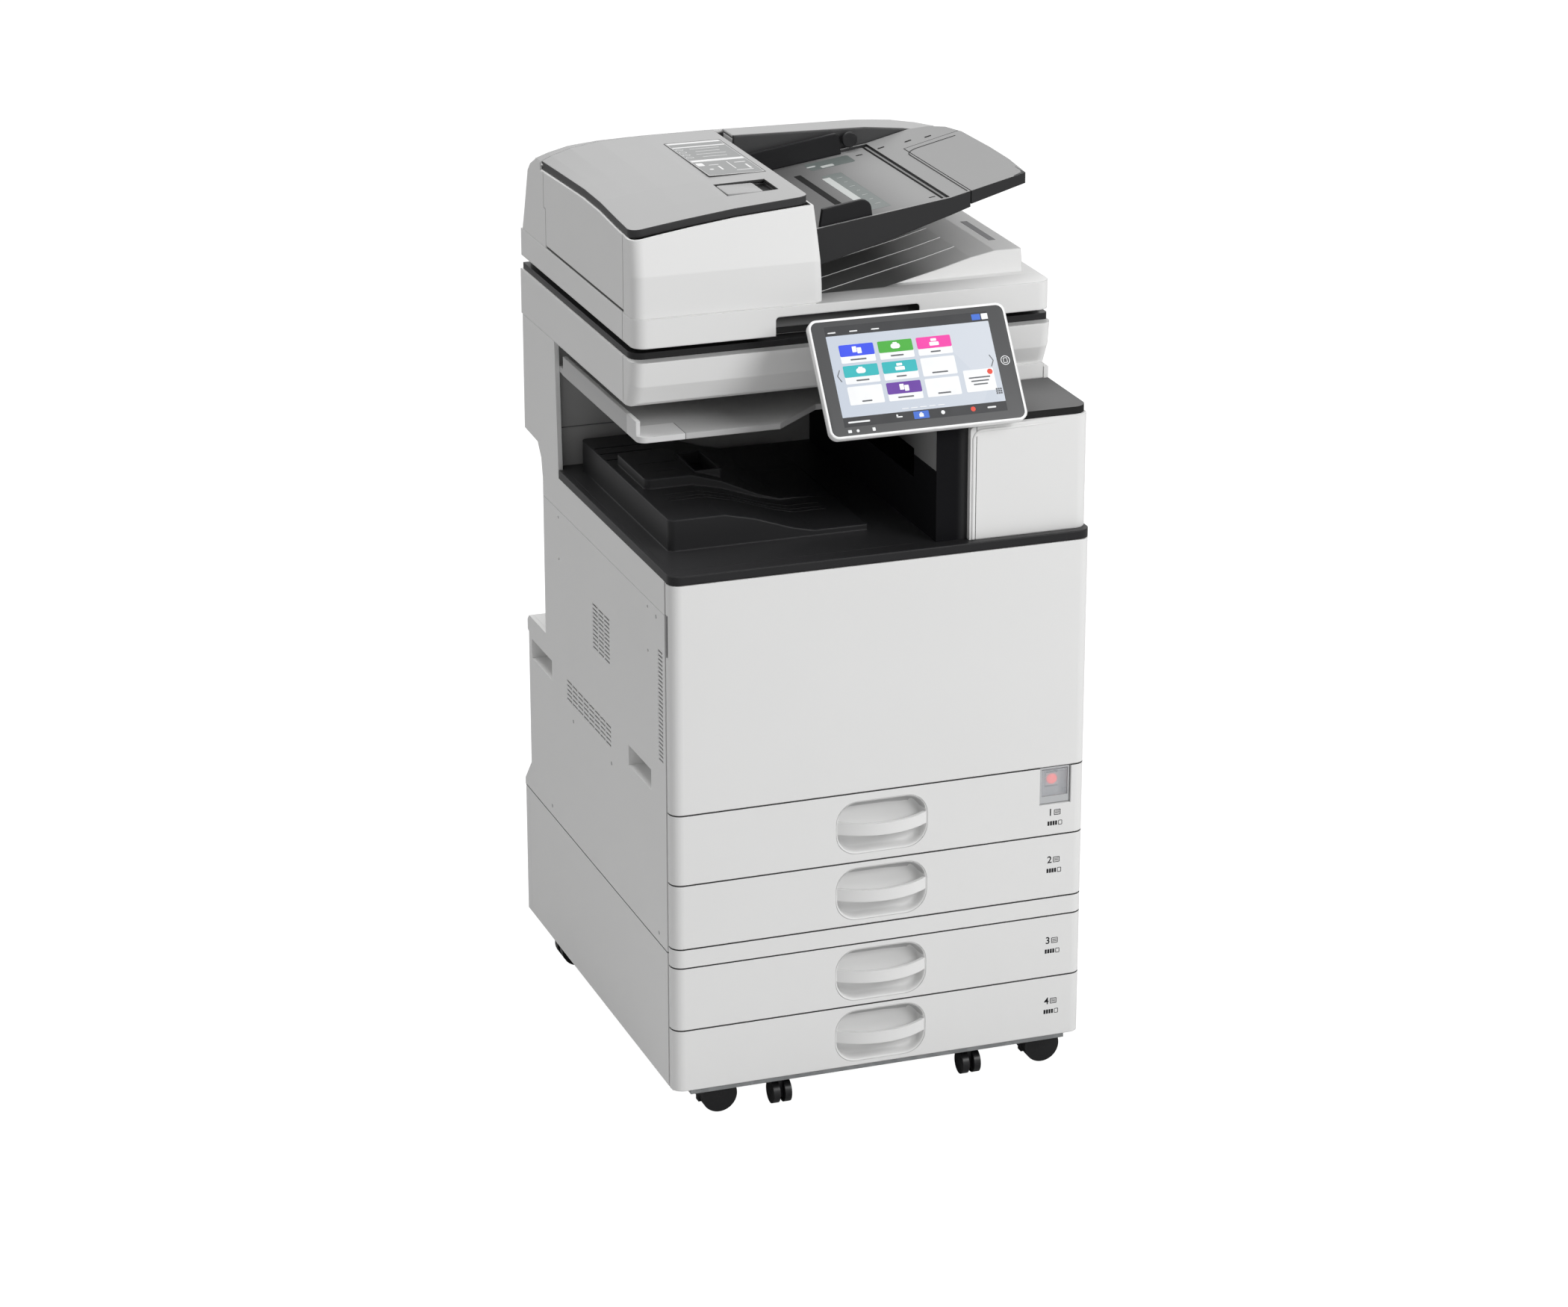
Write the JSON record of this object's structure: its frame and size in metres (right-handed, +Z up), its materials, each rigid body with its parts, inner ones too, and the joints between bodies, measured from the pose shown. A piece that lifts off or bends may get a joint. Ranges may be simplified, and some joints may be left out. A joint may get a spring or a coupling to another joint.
{
  "type": "photocopier",
  "caption": "Floor-standing office photocopier with document feeder, tilting touch panel, open exit cavity, pull-out paper drawers and casters.",
  "frame": {"origin": "bottom centre of the bounding box, on the floor under the middle of the machine", "axes": "+Z up, +X to the right as seen by the user, -Y towards the user"},
  "size_m": [0.587, 0.692, 1.2245],
  "materials": {
    "white_cover": "fine grain satin",
    "grey_cover": "fine grain satin",
    "grey_liner": "satin",
    "dark_table": "fine grain satin",
    "black_plastic": "satin",
    "panel_black": "satin bezel with a gloss screen",
    "steel": "galvanised sheet",
    "dark_metal": "satin",
    "clear_glass": "polished",
    "clear_flap": "clear, lightly frosted",
    "red_switch": "gloss",
    "white_foam": "smooth film over foam",
    "grey_pan": "satin",
    "toner_plastic": "satin",
    "drum_green": "coated, gloss",
    "black_wheel": "satin"
  },
  "bodies": {
    "machine": {"bank_frame": "steel", "bank_left_cover": "white_cover", "bank_rear_cover": "white_cover", "bank_front_strip": "white_cover", "main_frame": "steel", "left_cover": "white_cover", "left_upper_cover": "white_cover", "right_cover": "white_cover", "rear_cover": "white_cover", "power_inlet": "black_plastic", "exit_tray": "black_plastic", "cavity_liner": "grey_liner", "one_bin_tray": "grey_liner", "tower_frame": "black_plastic", "tower_cover": "white_cover", "scanner_housing": "white_cover", "scanner_band": "black_plastic", "platen_glass": "clear_glass", "panel_bracket": "black_plastic", "fuser_unit": "dark_metal", "laser_unit": "black_plastic", "electronics_box": "steel", "switch_box": "white_cover", "drawer_runners": "steel", "small_caster_forks": "black_plastic"},
    "front_door": {"front_door": "white_cover"},
    "switch_flap": {"switch_flap": "clear_flap"},
    "power_switch": {"power_switch": "red_switch"},
    "drawer_1": {"tray_1_front": "white_cover", "tray_1_pan": "grey_pan"},
    "drawer_2": {"tray_2_front": "white_cover", "tray_2_pan": "grey_pan"},
    "drawer_3": {"tray_3_front": "white_cover", "tray_3_pan": "grey_pan"},
    "drawer_4": {"tray_4_front": "white_cover", "tray_4_pan": "grey_pan"},
    "right_door": {"right_door": "white_cover"},
    "bypass_tray": {"bypass_tray": "white_cover"},
    "bank_door": {"bank_door": "white_cover"},
    "feeder": {"feeder_base": "white_cover", "feeder_housing": "white_cover", "feeder_cushion": "white_foam"},
    "feeder_top_cover": {"feeder_top_cover": "grey_cover"},
    "document_table": {"document_table": "dark_table"},
    "table_extension": {"table_extension": "dark_table"},
    "front_guide": {"front_guide": "black_plastic"},
    "rear_guide": {"rear_guide": "black_plastic"},
    "operation_panel": {"operation_panel": "panel_black"},
    "toner_bottle": {"toner_bottle": "toner_plastic"},
    "drum": {"drum": "drum_green"},
    "scan_carriage": {"scan_carriage": "black_plastic"},
    "caster_fork_front_left": {"caster_fork_front_left": "black_plastic"},
    "caster_wheels_front_left": {"caster_wheels_front_left": "black_wheel"},
    "caster_fork_front_right": {"caster_fork_front_right": "black_plastic"},
    "caster_wheels_front_right": {"caster_wheels_front_right": "black_wheel"},
    "caster_fork_rear_left": {"caster_fork_rear_left": "black_plastic"},
    "caster_wheels_rear_left": {"caster_wheels_rear_left": "black_wheel"},
    "caster_fork_rear_right": {"caster_fork_rear_right": "black_plastic"},
    "caster_wheels_rear_right": {"caster_wheels_rear_right": "black_wheel"},
    "small_caster_wheels": {"small_caster_wheels": "black_wheel"}
  },
  "joints": [
    {"name": "front_door_swing", "type": "hinge", "parent": "machine", "child": "front_door", "pos_m": [0.2835, -0.315, 0.608], "axis": [0, 0, 1], "range_deg": [0, 100]},
    {"name": "switch_flap_lift", "type": "hinge", "parent": "machine", "child": "switch_flap", "pos_m": [0.2495, -0.32075, 0.4416], "axis": [-1, 0, 0], "range_deg": [0, 80]},
    {"name": "power_switch_rock", "type": "hinge", "parent": "machine", "child": "power_switch", "pos_m": [0.2495, -0.3075, 0.427], "axis": [1, 0, 0], "range_deg": [-8, 8]},
    {"name": "drawer_1_slide", "type": "slide", "parent": "machine", "child": "drawer_1", "axis": [0, -1, 0], "range_m": [0, 0.42]},
    {"name": "drawer_2_slide", "type": "slide", "parent": "machine", "child": "drawer_2", "axis": [0, -1, 0], "range_m": [0, 0.42]},
    {"name": "drawer_3_slide", "type": "slide", "parent": "machine", "child": "drawer_3", "axis": [0, -1, 0], "range_m": [0, 0.42]},
    {"name": "drawer_4_slide", "type": "slide", "parent": "machine", "child": "drawer_4", "axis": [0, -1, 0], "range_m": [0, 0.42]},
    {"name": "right_door_swing", "type": "hinge", "parent": "machine", "child": "right_door", "pos_m": [0.288, 0.1495, 0.5], "axis": [0, 0, 1], "range_deg": [0, 85]},
    {"name": "bypass_tray_fold", "type": "hinge", "parent": "right_door", "child": "bypass_tray", "pos_m": [0.288, -0.049, 0.388], "axis": [0, 1, 0], "range_deg": [0, 75]},
    {"name": "bank_door_swing", "type": "hinge", "parent": "machine", "child": "bank_door", "pos_m": [0.283, 0.3135, 0.15], "axis": [0, 0, 1], "range_deg": [0, 85]},
    {"name": "feeder_lift", "type": "hinge", "parent": "machine", "child": "feeder", "pos_m": [0, 0.315, 1.0355], "axis": [-1, 0, 0], "range_deg": [0, 60]},
    {"name": "top_cover_lift", "type": "hinge", "parent": "feeder", "child": "feeder_top_cover", "pos_m": [-0.291, 0.023, 1.1958], "axis": [0, -1, 0], "range_deg": [0, 70]},
    {"name": "table_lift", "type": "hinge", "parent": "feeder", "child": "document_table", "pos_m": [-0.0335, 0.014, 1.1665], "axis": [0, -1, 0], "range_deg": [0, 22]},
    {"name": "extension_slide", "type": "slide", "parent": "document_table", "child": "table_extension", "axis": [0.9731, 0, 0.2302], "range_m": [0, 0.07]},
    {"name": "front_guide_slide", "type": "slide", "parent": "document_table", "child": "front_guide", "axis": [0, 1, 0], "range_m": [0, 0.09]},
    {"name": "rear_guide_slide", "type": "slide", "parent": "document_table", "child": "rear_guide", "axis": [0, -1, 0], "range_m": [0, 0.09]},
    {"name": "panel_tilt", "type": "hinge", "parent": "machine", "child": "operation_panel", "pos_m": [0.0577, -0.2513, 1.03178], "axis": [1, 0, 0], "range_deg": [-30, 0]},
    {"name": "bottle_spin", "type": "hinge", "parent": "machine", "child": "toner_bottle", "pos_m": [-0.15, -0.106, 0.65], "axis": [0, 1, 0], "continuous": true},
    {"name": "drum_spin", "type": "hinge", "parent": "machine", "child": "drum", "pos_m": [0.06, -0.036, 0.6], "axis": [0, 1, 0], "continuous": true},
    {"name": "carriage_scan", "type": "slide", "parent": "machine", "child": "scan_carriage", "axis": [1, 0, 0], "range_m": [0, 0.44]},
    {"name": "caster_swivel_front_left", "type": "hinge", "parent": "machine", "child": "caster_fork_front_left", "pos_m": [-0.2352, -0.275, 0.04], "axis": [0, 0, 1], "continuous": true},
    {"name": "caster_roll_front_left", "type": "hinge", "parent": "caster_fork_front_left", "child": "caster_wheels_front_left", "pos_m": [-0.2192, -0.275, 0.025], "axis": [0, 1, 0], "continuous": true},
    {"name": "caster_swivel_front_right", "type": "hinge", "parent": "machine", "child": "caster_fork_front_right", "pos_m": [0.2352, -0.275, 0.04], "axis": [0, 0, 1], "continuous": true},
    {"name": "caster_roll_front_right", "type": "hinge", "parent": "caster_fork_front_right", "child": "caster_wheels_front_right", "pos_m": [0.2512, -0.275, 0.025], "axis": [0, 1, 0], "continuous": true},
    {"name": "caster_swivel_rear_left", "type": "hinge", "parent": "machine", "child": "caster_fork_rear_left", "pos_m": [-0.2352, 0.253, 0.04], "axis": [0, 0, 1], "continuous": true},
    {"name": "caster_roll_rear_left", "type": "hinge", "parent": "caster_fork_rear_left", "child": "caster_wheels_rear_left", "pos_m": [-0.2512, 0.253, 0.025], "axis": [0, 1, 0], "continuous": true},
    {"name": "caster_swivel_rear_right", "type": "hinge", "parent": "machine", "child": "caster_fork_rear_right", "pos_m": [0.2352, 0.253, 0.04], "axis": [0, 0, 1], "continuous": true},
    {"name": "caster_roll_rear_right", "type": "hinge", "parent": "caster_fork_rear_right", "child": "caster_wheels_rear_right", "pos_m": [0.2192, 0.253, 0.025], "axis": [0, 1, 0], "continuous": true},
    {"name": "small_caster_roll", "type": "hinge", "parent": "machine", "child": "small_caster_wheels", "pos_m": [0, -0.2906, 0.0165], "axis": [1, 0, 0], "continuous": true}
  ],
  "couplings": [
    {"joint": "rear_guide_slide", "follows": "front_guide_slide", "ratio": 1}
  ]
}
